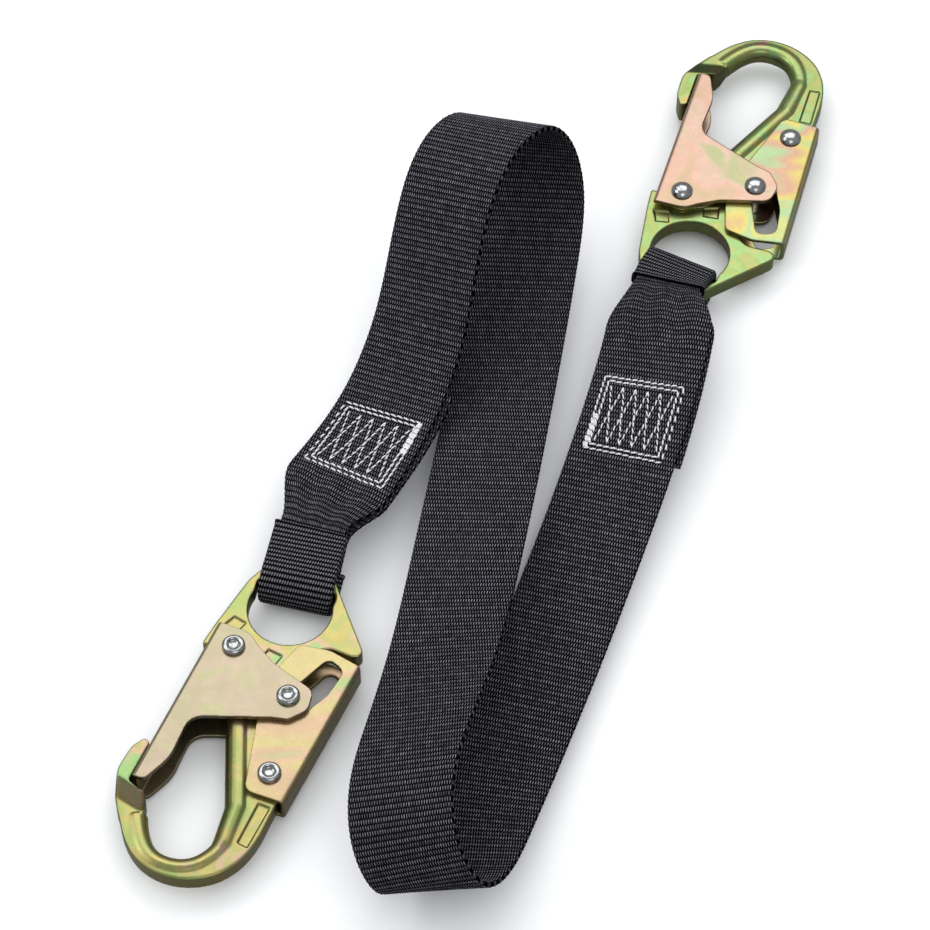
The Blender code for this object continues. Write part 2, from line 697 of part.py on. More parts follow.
def width_at(distance, side):
    start, end = NARROWING[side]
    return EYE_WEB_WIDTH + (WEB_WIDTH - EYE_WEB_WIDTH) * smoothstep((distance - start) / (end - start))


def webbing_sections():
    """The whole webbing as (centre, across, normal, width) sections, tail to tail."""
    path, across, normals, distance = centre_line()
    length = distance[-1]
    widths = [min(width_at(d, "left"), width_at(length - d, "right")) for d in distance]
    main = list(zip(path, across, normals, widths))
    left = end_layers(path, across, normals, distance, "left")
    right = end_layers(path[::-1], across[::-1], normals[::-1], (length - distance)[::-1], "right")
    return left + main + right[::-1]


def strip(name, rails, collection, closed=False):
    """A surface through rows of points, one row for each section, joined side to side."""
    bm = bmesh.new()
    rows = [[bm.verts.new(Vector(p) * MM) for p in row] for row in rails]
    columns = len(rows[0])
    for a, b in zip(rows, rows[1:]):
        for k in range(columns if closed else columns - 1):
            m = (k + 1) % columns
            bm.faces.new((a[k], a[m], b[m], b[k]))
    bmesh.ops.recalc_face_normals(bm, faces=bm.faces)
    mesh = bpy.data.meshes.new(name)
    bm.to_mesh(mesh)
    bm.free()
    obj = bpy.data.objects.new(name, mesh)
    collection.objects.link(obj)
    return obj


def webbing(parts, material):
    rails = [(centre - across * width / 2, centre + across * width / 2)
             for centre, across, _, width in webbing_sections()]
    obj = strip("webbing_strap", rails, parts)
    solid = obj.modifiers.new("Solidify", "SOLIDIFY")
    solid.thickness = WEB_THICK * MM
    solid.offset = 0
    solid.use_even_offset = True
    obj.data.materials.append(material)
    return obj


def sleeve_sections(side):
    """The webbing's sections under the wear sleeve, from the lower layer round the bar to the upper."""
    path, across, normals, distance = centre_line()
    if side == "right":
        path, across, normals = path[::-1], across[::-1], normals[::-1]
        distance = (distance[-1] - distance)[::-1]
    over, under = SLEEVE_REACH[side]
    layer = end_layers(path, across, normals, distance, side)
    bare = sum(1 for d in distance if max(under, STATION_STEP / 2) < d < TAIL_LENGTH)
    upper = [(path[i], across[i], normals[i], width_at(distance[i], side))
             for i in range(len(path)) if distance[i] <= over]
    return layer[bare:] + upper


def wear_sleeve(side, parts, material):
    face = WEB_THICK / 2 + SLEEVE_GAP
    rails = []
    for centre, across, normal, width in sleeve_sections(side):
        edge = width / 2 + SLEEVE_GAP
        ring = [(edge, SLEEVE_CHAMFER - face), (edge, face - SLEEVE_CHAMFER), (edge - SLEEVE_CHAMFER, face)]
        ring += [(-u, v) for u, v in ring[::-1]]
        ring += [(u, -v) for u, v in (ring[3], ring[2])]
        rails.append([centre + u * across + v * normal for u, v in ring])
    obj = strip(f"{side}_wear_sleeve", rails, parts, closed=True)
    solid = obj.modifiers.new("Solidify", "SOLIDIFY")
    solid.thickness = SLEEVE_SHEET * MM
    solid.offset = 1
    solid.use_even_offset = True
    obj.data.materials.append(material)
    return obj


def stitch_pattern():
    """The thread's line as (distance from the bar, across) points: a box, then a zigzag inside it."""
    near, far, half = STITCH_START, STITCH_END, STITCH_HALF_WIDTH
    box = [(near, -half), (near, half), (far, half), (far, -half), (near + STITCH_TRIM, -half)]
    line = []
    for a, b in zip(box, box[1:]):
        line += [between(a, b, k / 5) for k in range(5)]
    line.append(box[-1])
    inner = half - STITCH_TRIM
    for k in range(2 * STITCH_PEAKS + 1):
        across = -inner + 2 * inner * k / (2 * STITCH_PEAKS)
        along = near + STITCH_TRIM if k % 2 == 0 else far - STITCH_TRIM
        line.append((along, across))
    dense = [line[0]]
    for a, b in zip(line, line[1:]):
        pieces = max(1, round(math.dist(a, b) / 7))
        dense += [between(a, b, (k + 1) / pieces) for k in range(pieces)]
    return dense


def box_stitching(side, parts, material):
    path, across, normals, distance = centre_line()
    if side == "right":
        path, across, normals = path[::-1], across[::-1], normals[::-1]
        distance = (distance[-1] - distance)[::-1]
    lift = WEB_THICK / 2 + GAP + THREAD_RADIUS
    line = []
    for along, sideways in stitch_pattern():
        at = [np.interp(along, distance, column) for column in (*path.T, *across.T, *normals.T)]
        centre, rib, normal = np.array(at[:3]), np.array(at[3:6]), np.array(at[6:])
        line.append(tuple(centre + sideways * rib + lift * normal))
    obj = wire(f"{side}_box_stitching", line, THREAD_RADIUS, parts)
    obj.data.materials.append(material)
    set_smooth(obj)
    return obj


def main():
    clear_scene()
    parts = new_collection("webbing_lanyard")
    cutters = new_collection("cutters", hidden=True)
    materials = {
        "forging": principled("zinc_forging", (0.60, 0.62, 0.28), 0.32, 1.0),
        "gate": principled("zinc_gate", (0.74, 0.66, 0.52), 0.35, 1.0),
        "lever": principled("zinc_lever", (0.78, 0.64, 0.38), 0.35, 1.0),
        "rivet": principled("bright_rivet", (0.78, 0.80, 0.82), 0.25, 1.0),
        "spring": principled("spring_wire", (0.62, 0.55, 0.33), 0.35, 1.0),
        "webbing": principled("black_webbing", (0.015, 0.015, 0.018), 0.75, 0.0),
        "sleeve": principled("black_sleeve", (0.02, 0.02, 0.024), 0.7, 0.0),
        "thread": principled("white_thread", (0.85, 0.85, 0.84), 0.7, 0.0),
    }
    webbing(parts, materials["webbing"])
    for side in HOOK_PLACES:
        build_hook(side, parts, cutters, materials)
        wear_sleeve(side, parts, materials["sleeve"])
        box_stitching(side, parts, materials["thread"])
    for cutter in cutters.objects:
        cutter.hide_render = True


main()
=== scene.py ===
"""Looks of the webbing lanyard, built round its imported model: woven webbing with a selvedge, ribbed wear
sleeves, white box stitching, and hooks whose forged and folded pieces have rounded edges and iridescent
yellow zinc plating.

Lengths are in millimetres and become metres where a mesh is made. Each hook has its own frame: the gate
pivot is its origin, +x runs to the gate's lock rivet, and +z out of the face with the flared rivet ends.
"""

import json
import math

import bpy
import numpy as np
from mathutils import Matrix, Quaternion, Vector


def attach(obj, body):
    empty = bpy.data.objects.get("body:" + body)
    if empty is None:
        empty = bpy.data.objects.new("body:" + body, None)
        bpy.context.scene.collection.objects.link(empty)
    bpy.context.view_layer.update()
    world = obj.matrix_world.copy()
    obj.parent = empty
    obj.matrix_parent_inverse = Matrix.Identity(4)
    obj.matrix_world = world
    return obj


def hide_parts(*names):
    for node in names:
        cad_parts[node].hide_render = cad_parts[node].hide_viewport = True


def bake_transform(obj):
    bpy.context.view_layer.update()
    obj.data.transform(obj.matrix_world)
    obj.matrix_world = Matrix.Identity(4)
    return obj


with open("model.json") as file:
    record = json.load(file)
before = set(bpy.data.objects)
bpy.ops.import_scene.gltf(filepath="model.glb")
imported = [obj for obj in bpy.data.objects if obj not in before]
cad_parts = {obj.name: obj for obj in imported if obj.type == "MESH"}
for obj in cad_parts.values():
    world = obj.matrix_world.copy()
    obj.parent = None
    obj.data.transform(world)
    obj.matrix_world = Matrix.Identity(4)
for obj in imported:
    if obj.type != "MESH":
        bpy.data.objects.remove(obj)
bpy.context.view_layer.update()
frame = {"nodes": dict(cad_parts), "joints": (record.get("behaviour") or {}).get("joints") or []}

MM = 0.001
SIDES = ("left", "right")

# Hook frame
LEVER_PIVOT = (43.1, -23.2)
LOCK_PIN = (26.8, 0.0)
EYE_TILT = 122.0  # direction from the hook to the webbing, in degrees

# The webbing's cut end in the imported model: its faces' sides, and how far apart they lie
END_SHORT_SIDE = 2.3
END_LONG_SIDE = 37.0
END_REACH = 20.0
TAIL_SECTIONS = 9  # sections of the lower layer at the left tail

# Forged body: rounding and the blank marking panels on its faces
FORGED_VOXEL = 0.3
FORGED_SMOOTHING = 16
FACE_HEIGHT = 3.2
FACE_SLACK = 0.2
PANEL_DEPTH = 0.45
PANEL_EDGE = 0.6
NOSE_HEADING = -78.0  # the way the nose runs from the gate pivot, in degrees
NOSE_STEP = (59.5, 65.8)  # its sloped step, which gets a painted dark reflection
NOSE_BLUR = 0.5  # softness of its ends
NOSE_SIDE = 24.0  # it lies on this side of the hook frame's x
PANELS = (
    ((47.6, -32.4), (52.0, -30.6), (57.9, -46.2), (53.8, -47.4)),
    ((-10.9, 4.3), (-5.1, 5.5), (-5.7, 11.0), (-10.9, 9.9)),
    ((7.2, 5.2), (13.4, 5.4), (12.2, 11.0), (6.6, 9.3)),
)

# Folded sheet: gate and lock lever
SHEET_VOXEL = 0.24
SHEET_SMOOTHING = 3

# Rivets and rollers
TURNED_STEPS = 56
PROFILE_STEPS = 4
RIVET_HEAD = 3.9
RIVET_SHANK = 1.9
LOCK_RIVET_SHANK = 1.5
ROLLER_RADIUS = 2.6
ROLLER_BORE = 1.8
ROLLER_HALF = 5.15
ROLLER_CHAMFER = 0.3
GATE_GRIP = 7.55  # half of the thickness that each rivet holds, with its clearance
LEVER_GRIP = 5.4

# Webbing weave
RIB_PITCH = 1.8
ROWS_PER_RIB = 2
WARP_COLUMNS = 81
WEB_HALF = 0.93
SELVEDGE = 0.5
FLOAT_HEIGHT = 0.14
RIB_HEIGHT = 0.16
LOW_RIB = 0.04  # every second rib is this much lower
SCALLOP = 0.22
SELVEDGE_SHADE = 0.7  # how much weaker the painted glints are at the edges
YARN_GLOSS = 0.2  # specular level of the raised yarn, where plain plastic has 0.5
PUCKER_HEIGHT = 1.3
PUCKER_RISE = 6.0  # length over which the folds rise beyond the sleeve
PUCKER_END = 46.0  # where they end, from the bar
PUCKER_FALL = 16.0  # length over which they fall away before that
PUCKER_WAVES = 3

# Wear sleeves: reach over and under the webbing from the bar, and weave
SLEEVE_REACH = {"left": (16.0, 10.0), "right": (10.0, 16.0)}
SLEEVE_CLEARANCE = 0.55
SLEEVE_WALL = 0.6
SLEEVE_CORNER = 1.1
SLEEVE_RIB = 1.6
BEAD_COLUMNS = 3
SLEEVE_ROWS_PER_RIB = 4
SLEEVE_COLUMNS = 192
SLEEVE_RIB_HEIGHT = 0.17
SLEEVE_FLARE = 0.4  # how much wider it is at its mouths
SLEEVE_MOUTH = 2.0  # the length over which it widens

# Box stitching, measured from the bar along the webbing and across it
STITCH_RANGE = {"left": (40.5, 70.0), "right": (54.5, 84.0)}
STITCH_HALF = {"left": 15.2, "right": 14.2}
STITCH_INSET = 1.7
ZIGZAG_INSET = 3.4
ZIGZAG_PLACES = (0.05, 0.23, 0.41, 0.59, 0.77, 0.95)
STITCH_LENGTH = 2.2
STITCH_SLANT = 0.2  # how far each stitch turns off its line, on either side
THREAD_RADIUS = 0.31
ZIGZAG_FINENESS = 0.8
STITCH_GAP = 0.25
ZIGZAG_GAP = 0.45
DASH_GAP = 1.5
TACK_LENGTH = 14.0  # the thread's end, sewn over the box's side
TACK_GAP = 0.1
TACK_SHIFTS = (0.0, 0.55, 1.1)
TACK_SLANT = 0.3
STITCH_JITTER = 0.05
STITCH_WOBBLE = 0.06
STITCH_SEED = 7
STITCH_SIDES = 8
STITCH_RINGS = 9
DASHED_SIDE = {"left": -1, "right": 1}  # where the outer line is spaced out, across the webbing

# Camera: target in mm, elevation in degrees, distance in mm and lens in mm
CAMERA_TARGET = (-10.273, -8.705, 9.5)
CAMERA_ELEVATION = 55.0
CAMERA_DISTANCE = 1208.0
CAMERA_LENS = 135.5

# Lights: name, azimuth and elevation in degrees, distance, size and power
SOFTBOXES = (
    ("back_softbox", 0, 55, 1.5, (1.4, 0.85), 4.6),
    ("left_softbox", -75, 50, 1.6, (0.7, 0.7), 2.2),
    ("front_softbox", 165, 60, 1.8, (0.8, 0.8), 2.0),
)
DAYLIGHT = (0.45, 1.40)  # brightness of the surroundings at the horizon and overhead
MIRRORED = (0.16, 0.26)  # the same, as polished metal mirrors it
FLOOR_SIZE = 12.0


# ---- meshes ---------------------------------------------------------------------------------------

def mesh_object(name, points, faces, attribute=None):
    """An object from points in mm. attribute is (name, one vector for each point)."""
    mesh = bpy.data.meshes.new(name)
    mesh.from_pydata((np.asarray(points) * MM).tolist(), [], faces)
    mesh.shade_smooth()
    if attribute:
        layer = mesh.attributes.new(attribute[0], "FLOAT_VECTOR", "POINT")
        layer.data.foreach_set("vector", np.asarray(attribute[1], np.float32).ravel())
    obj = bpy.data.objects.new(name, mesh)
    bpy.context.scene.collection.objects.link(obj)
    return obj


def ring_faces(rows, columns, first=0, capped=True, cyclic=False):
    """Faces of a tube whose rings of points follow one another, numbered from first."""
    index = first + np.arange(rows * columns).reshape(rows, columns)
    if cyclic:
        index = np.vstack((index, index[:1]))
    after = np.roll(index, -1, axis=1)
    quads = np.stack((index[:-1], after[:-1], after[1:], index[1:]), axis=-1)
    faces = quads.reshape(-1, 4).tolist()
    if capped:
        faces += [index[0, ::-1].tolist(), index[-1].tolist()]
    return faces


def resample(values, knots, at):
    """A smooth curve through values at the knots, read at these places."""
    slopes = np.gradient(values, knots, axis=0)
    i = np.clip(np.searchsorted(knots, at) - 1, 0, len(knots) - 2)
    gap = (knots[i + 1] - knots[i])[:, None]
    t = (at - knots[i])[:, None] / gap
    return ((2 * t ** 3 - 3 * t ** 2 + 1) * values[i] + (t ** 3 - 2 * t ** 2 + t) * gap * slopes[i]
            + (3 * t ** 2 - 2 * t ** 3) * values[i + 1] + (t ** 3 - t ** 2) * gap * slopes[i + 1])


def smoothstep(x):
    x = np.clip(x, 0.0, 1.0)
    return x * x * (3 - 2 * x)


def unit(vectors):
    return vectors / np.linalg.norm(vectors, axis=-1, keepdims=True)


def cad_mesh(node):
    """The node's points in mm, each once, and its triangles."""
    mesh = frame["nodes"][node].data
    mesh.calc_loop_triangles()
    points = np.empty(len(mesh.vertices) * 3, np.float32)
    mesh.vertices.foreach_get("co", points)
    corners = np.empty(len(mesh.loop_triangles) * 3, np.int32)
    mesh.loop_triangles.foreach_get("vertices", corners)
    points = np.round(points.reshape(-1, 3).astype(float) / MM, 3)
    points, index = np.unique(points, axis=0, return_inverse=True)
    triangles = index.reshape(-1)[corners].reshape(-1, 3)
    same = (triangles == np.roll(triangles, 1, axis=1)).any(axis=1)
    return points, triangles[~same]


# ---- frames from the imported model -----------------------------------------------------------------

def joint(name):
    return next(j for j in frame["joints"] if j["name"] == name)


def hook_matrix(side):
    """The hook frame, in metres, from the axes of its gate and of its lock lever."""
    gate = joint(f"{side}_gate_open")
    origin, up = Vector(gate["pos_m"]), Vector(gate["axis"]).normalized()
    to_lever = (Vector(joint(f"{side}_lever_press")["pos_m"]) - origin).normalized()
    bearing = math.atan2(-LEVER_PIVOT[1], LEVER_PIVOT[0])
    x = Quaternion(up, bearing) @ to_lever
    y = up.cross(x)
    return Matrix.Translation(origin) @ Matrix((x, y, up)).transposed().to_4x4()


def neighbours_of(triangles, count):
    found = [set() for _ in range(count)]
    for a, b, c in triangles.tolist():
        found[a] |= {b, c}
        found[b] |= {a, c}
        found[c] |= {a, b}
    return found


def end_ring(points, triangles):
    """The four corners of the webbing's cut end nearest the left hook."""
    corners = points[triangles]
    sides = np.linalg.norm(corners - np.roll(corners, 1, axis=1), axis=2)
    caps = (sides.min(axis=1) < END_SHORT_SIDE) & (sides.max(axis=1) > END_LONG_SIDE)
    hook = np.array(joint("left_hook_swing")["pos_m"]) / MM
    distance = np.linalg.norm(corners.mean(axis=1) - hook, axis=1)
    nearest = np.argmin(np.where(caps, distance, np.inf))
    middle = corners[nearest].mean(axis=0)
    apart = np.linalg.norm(corners.mean(axis=1) - middle, axis=1)
    return set(triangles[caps & (apart < END_REACH)].ravel().tolist())


def strap_sections():
    """The webbing's centres and half-width vectors from the left tail to the right one, in mm."""
    points, triangles = cad_mesh("webbing_strap")
    near = neighbours_of(triangles, len(points))
    ring = end_ring(points, triangles)
    seen, centres, halves = set(ring), [], []
    while ring:
        if len(ring) != 4:
            raise ValueError("the webbing's sections should have four corners each")
        corners = sorted(ring)
        first = points[corners[0]]
        order = sorted(corners, key=lambda k: np.linalg.norm(points[k] - first))
        a, b = points[order[:2]].mean(axis=0), points[order[2:]].mean(axis=0)
        half = (b - a) / 2
        if halves and half @ halves[-1] < 0:
            half = -half
        centres.append((a + b) / 2)
        halves.append(half)
        ring = set().union(*(near[k] for k in ring)) - seen
        seen |= ring
    centres, halves = np.array(centres), np.array(halves)
    facing = np.cross(halves, np.gradient(centres, axis=0))[:, 2]
    return centres, halves * math.copysign(1, -facing[:TAIL_SECTIONS].sum())


class Webbing:
    """The webbing's middle surface. along is the distance from the left tail, across is from its middle."""

    def __init__(self):
        self.centres, self.halves = strap_sections()
        steps = np.linalg.norm(np.diff(self.centres, axis=0), axis=1)
        self.knots = np.r_[0, np.cumsum(steps)]
        self.length = self.knots[-1]
        self.ahead = np.gradient(self.centres, self.knots, axis=0)
        self.bars = {side: self.loop_ends(side) for side in SIDES}

    def loop_ends(self, side):
        """Where the webbing reaches and leaves the bar, from below it to above it."""
        bar = np.array(joint(f"{side}_hook_swing")["pos_m"]) / MM
        turn = hook_matrix(side).to_3x3()
        tilt = math.radians(EYE_TILT)
        outward = np.array(turn @ Vector((math.cos(tilt), math.sin(tilt), 0)))
        near = np.linalg.norm(self.centres - bar, axis=1)
        radius = near.min()
        apex = np.argmin(np.linalg.norm(self.centres - (bar - radius * outward), axis=1))
        quarter = radius * math.pi / 2
        sign = 1 if side == "left" else -1
        return self.knots[apex] - sign * quarter, self.knots[apex] + sign * quarter

    def from_bar(self, side, distance, under=False):
        """A distance along the webbing, given from the bar, on the layer over it or under it."""
        below, above = self.bars[side]
        sign = 1 if side == "left" else -1
        return below - sign * distance if under else above + sign * distance

    def at(self, along):
        """Centre, unit across, unit normal and width at these distances."""
        centre = resample(self.centres, self.knots, along)
        half = resample(self.halves, self.knots, along)
        ahead = resample(self.ahead, self.knots, along)
        normal = unit(np.cross(half, ahead))
        across = unit(half - (half * normal).sum(1)[:, None] * normal)
        return centre, across, normal, 2 * np.linalg.norm(half, axis=1)

    def pucker(self, along, share):
        """How far the upper layer's lengthwise folds rise where the webbing narrows."""
        height = np.zeros(np.broadcast(along, share).shape)
        for side in SIDES:
            out = np.abs(along - self.bars[side][1])
            reach = SLEEVE_REACH[side][0]
            inside = smoothstep((out - reach) / PUCKER_RISE) * smoothstep((PUCKER_END - out) / PUCKER_FALL)
            upper = (along > self.bars["left"][1]) & (along < self.bars["right"][1])
            waves = 0.5 + 0.5 * np.cos(share * PUCKER_WAVES * math.pi)
            height = height + np.where(upper, inside, 0) * waves
        return PUCKER_HEIGHT * height


# ---- material nodes -------------------------------------------------------------------------------

class Shade:
    """A node material under construction, with short calls for the nodes that it uses."""

    def __init__(self, name):
        self.material = bpy.data.materials.new(name)
        self.material.use_nodes = True
        self.tree = self.material.node_tree
        self.surface = self.tree.nodes["Principled BSDF"]

    def add(self, kind, inputs=(), **settings):
        """A new node. inputs pairs socket names or numbers with values or with other nodes' outputs."""
        node = self.tree.nodes.new(kind)
        for name, value in settings.items():
            setattr(node, name, value)
        for socket, value in dict(inputs).items():
            self.give(node.inputs[socket], value)
        return node

    def give(self, socket, value):
        if isinstance(value, bpy.types.NodeSocket):
            self.tree.links.new(value, socket)
        else:
            socket.default_value = value

    def math(self, operation, *values):
        return self.add("ShaderNodeMath", dict(enumerate(values)), operation=operation).outputs[0]

    def place(self, scale=(1, 1, 1)):
        """Rest position in mm, stretched by scale."""
        coordinates = self.add("ShaderNodeTexCoord").outputs["Object"]
        factors = [s / MM for s in scale]
        return self.add("ShaderNodeVectorMath", {0: coordinates, 1: factors},
                        operation="MULTIPLY").outputs[0]

    def noise(self, vector, size, detail=2.0, distortion=0.0):
        """Noise from 0 to 1 whose features are about size mm across."""
        inputs = {"Vector": vector, "Scale": 1 / size, "Detail": detail, "Distortion": distortion}
        return self.add("ShaderNodeTexNoise", inputs).outputs["Fac"]

    def between(self, value, low, high):
        """0 below low, 1 above high, and smooth between them."""
        node = self.add("ShaderNodeMapRange", {0: value, 1: low, 2: high}, interpolation_type="SMOOTHSTEP")
        return node.outputs[0]

    def ramp(self, value, stops):
        node = self.add("ShaderNodeValToRGB", {"Fac": value})
        elements = node.color_ramp.elements
        while len(elements) < len(stops):
            elements.new(0.5)
        for element, (position, colour) in zip(elements, stops):
            element.position = position
            element.color = (*colour, 1)
        return node.outputs["Color"]

    def mix(self, factor, a, b):
        node = self.add("ShaderNodeMix", data_type="RGBA")
        for socket, value in ((0, factor), (6, a), (7, b)):
            self.give(node.inputs[socket], (*value, 1) if isinstance(value, tuple) else value)
        return node.outputs[2]

    def bump(self, height, distance):
        """distance is the height's full rise, in mm."""
        inputs = {"Height": height, "Distance": distance * MM}
        self.give(self.surface.inputs["Normal"], self.add("ShaderNodeBump", inputs).outputs[0])

    def finish(self, **values):
        for name, value in values.items():
            self.give(self.surface.inputs[name.replace("_", " ").title()], value)
        return self.material


def plating(name, stops, patch, streaked=False, roughness=(0.22, 0.36), edge=(0.10, 0.075, 0.03)):
    """Yellow zinc plating: colours that drift in patches or in streaks, a fine grain, a painted shade on the
    sides, and a painted near-black shade and dark reflection where the forged body marks its panel rims and
    nose step.
    """
    s = Shade(name)
    place = s.place()
    drift = s.noise(place, patch, 1.5, 0.9)
    if streaked:
        slanted = s.add("ShaderNodeMapping", {0: place, "Rotation": (0, 0, 0.9), "Scale": (0.35, 1.0, 1.0)})
        streaks = s.noise(slanted.outputs[0], patch * 0.6, 1.0, 0.5)
        drift = s.math("ADD", s.math("MULTIPLY", drift, 0.4), s.math("MULTIPLY", streaks, 0.6))
    colour = s.ramp(drift, stops)
    mottle = s.between(s.noise(place, 2.2, 3.0), 0.52, 0.72)
    colour = s.mix(s.math("MULTIPLY", mottle, 0.2), colour, stops[0][1])
    grain = s.noise(place, 0.25, 2.0)
    colour = s.mix(s.math("MULTIPLY", s.between(grain, 0.55, 0.75), 0.4), colour, (0.20, 0.17, 0.08))
    # Painted shade: where the surface turns away from facing straight up or down, on sides and rounded edges,
    # the colour is darkened towards the edge colour.
    facing = s.add("ShaderNodeSeparateXYZ", {0: s.add("ShaderNodeTexCoord").outputs["Normal"]}).outputs[2]
    flat = s.between(s.math("ABSOLUTE", facing), 0.1, 0.8)
    colour = s.mix(flat, s.mix(0.7, colour, edge), colour)
    # Painted shade and painted dark reflection: near-black where the forged body marks the rims of its panels
    # and its nose's sloped step.
    painted_shade_and_reflection = s.add("ShaderNodeAttribute", attribute_name="painted_shade_and_reflection").outputs["Fac"]
    colour = s.mix(s.math("MULTIPLY", painted_shade_and_reflection, 0.7), colour, (0.05, 0.05, 0.02))
    s.bump(s.math("ADD", grain, s.math("MULTIPLY", s.noise(place, 1.6, 2.0), 1.5)), 0.009)
    rough = s.add("ShaderNodeMapRange", {0: s.noise(place, 4.0, 2.0), 3: roughness[0], 4: roughness[1]})
    return s.finish(base_color=colour, metallic=1.0, roughness=rough.outputs[0])


def bright_zinc():
    s = Shade("rivet_zinc")
    place = s.place()
    scuffs = s.noise(s.place((1, 1, 4)), 1.6, 3.0, 0.6)
    colour = s.ramp(scuffs, ((0.3, (0.42, 0.44, 0.45)), (0.5, (0.68, 0.70, 0.70)), (0.7, (0.78, 0.78, 0.74))))
    s.bump(scuffs, 0.008)
    rough = s.add("ShaderNodeMapRange", {0: s.noise(place, 0.8), 3: 0.12, 4: 0.22}).outputs[0]
    return s.finish(base_color=colour, metallic=1.0, roughness=rough)


def drawn_wire():
    s = Shade("golden_wire")
    streaks = s.noise(s.place((1, 1, 6)), 0.8, 3.0)
    colour = s.ramp(streaks, ((0.35, (0.45, 0.33, 0.14)), (0.65, (0.80, 0.66, 0.36))))
    s.bump(streaks, 0.01)
    return s.finish(base_color=colour, metallic=1.0, roughness=0.3)


def woven_fabric():
    """Black webbing: the raised warp floats get a painted glint, a lighter colour that is weaker on every
    second, lower rib and at the selvedge, and the gaps between them a painted near-black shade.
    """
    s = Shade("webbing_weave")
    cloth = s.add("ShaderNodeAttribute", attribute_name="cloth").outputs["Vector"]
    x, y, edge = s.add("ShaderNodeSeparateXYZ", {0: cloth}).outputs
    warp = s.math("COSINE", s.math("MULTIPLY", x, math.pi))
    rib = s.math("SINE", s.math("MULTIPLY", y, math.pi))
    # Painted glint on the raised floats, and painted shade in the gaps between them.
    raised = s.between(s.math("MULTIPLY", warp, rib), 0.05, 0.7)
    # Painted shade: the glints on every second, lower rib are dimmed.
    glint_strength = s.add("ShaderNodeMapRange", {0: rib, 1: -0.1, 2: 0.1, 3: 0.7, 4: 1.0}).outputs[0]
    glint_strength = s.math("MULTIPLY", glint_strength, s.math("SUBTRACT", 1.0, s.math("MULTIPLY", edge, SELVEDGE_SHADE)))
    fibres = s.add("ShaderNodeVectorMath", {0: cloth, 1: (5.0, 0.9, 1.0)}, operation="MULTIPLY").outputs[0]
    strands = s.noise(fibres, 1.0, 3.0)
    uneven = s.between(s.noise(s.place(), 3.0, 3.0), 0.3, 0.75)
    light = s.ramp(strands, ((0.35, (0.05, 0.046, 0.057)), (0.66, (0.40, 0.37, 0.43))))
    light = s.mix(s.math("MULTIPLY", uneven, 0.5), light, (0.03, 0.029, 0.036))
    colour = s.mix(s.math("MULTIPLY", raised, glint_strength), (0.0015, 0.0015, 0.002), light)
    s.bump(s.math("ADD", s.math("MULTIPLY", raised, 0.6), strands), 0.05)
    s.give(s.surface.inputs["Specular IOR Level"], s.math("MULTIPLY", raised, YARN_GLOSS))
    return s.finish(base_color=colour, roughness=0.6)


def sleeve_fabric():
    """Black tubular webbing: rows of small slanted beads along each rib, each with a painted glint, and a
    painted near-black shade between them.
    """
    s = Shade("sleeve_weave")
    cloth = s.add("ShaderNodeAttribute", attribute_name="cloth").outputs["Vector"]
    x, y, _ = s.add("ShaderNodeSeparateXYZ", {0: cloth}).outputs
    slanted = s.math("ADD", x, s.math("MULTIPLY", y, 0.45))
    bead = s.math("ABSOLUTE", s.math("SINE", s.math("MULTIPLY", slanted, math.pi)))
    rib = s.math("ABSOLUTE", s.math("SINE", s.math("MULTIPLY", y, math.pi)))
    raised = s.between(s.math("MULTIPLY", bead, rib), 0.35, 0.9)
    strands = s.noise(s.place(), 0.35, 3.0)
    light = s.ramp(strands, ((0.3, (0.06, 0.058, 0.068)), (0.7, (0.24, 0.235, 0.26))))
    # Painted glint on the beads and painted shade between them.
    colour = s.mix(raised, (0.003, 0.003, 0.0035), light)
    s.bump(s.math("ADD", s.math("MULTIPLY", raised, 0.6), strands), 0.04)
    s.give(s.surface.inputs["Specular IOR Level"], s.math("MULTIPLY", raised, YARN_GLOSS))
    return s.finish(base_color=colour, roughness=0.55)


def white_thread():
    """Twisted thread: the ply runs round it as it goes along, with a painted shade in the grooves between the
    plies.
    """
    s = Shade("stitching_thread")
    cloth = s.add("ShaderNodeAttribute", attribute_name="cloth").outputs["Vector"]
    turn, along, _ = s.add("ShaderNodeSeparateXYZ", {0: cloth}).outputs
    ply = s.math("SINE", s.math("ADD", s.math("MULTIPLY", along, 2 * math.pi / 0.7), turn))
    fuzz = s.noise(s.place(), 0.25, 3.0)
    # Painted shade in the grooves between the plies.
    colour = s.mix(s.between(ply, -1.0, -0.2), (0.46, 0.46, 0.47), (0.90, 0.90, 0.89))
    colour = s.mix(s.math("MULTIPLY", fuzz, 0.35), colour, (0.70, 0.70, 0.69))
    s.bump(s.math("ADD", ply, fuzz), 0.05)
    s.surface.inputs["Sheen Weight"].default_value = 0.3
    return s.finish(base_color=colour, roughness=0.75)


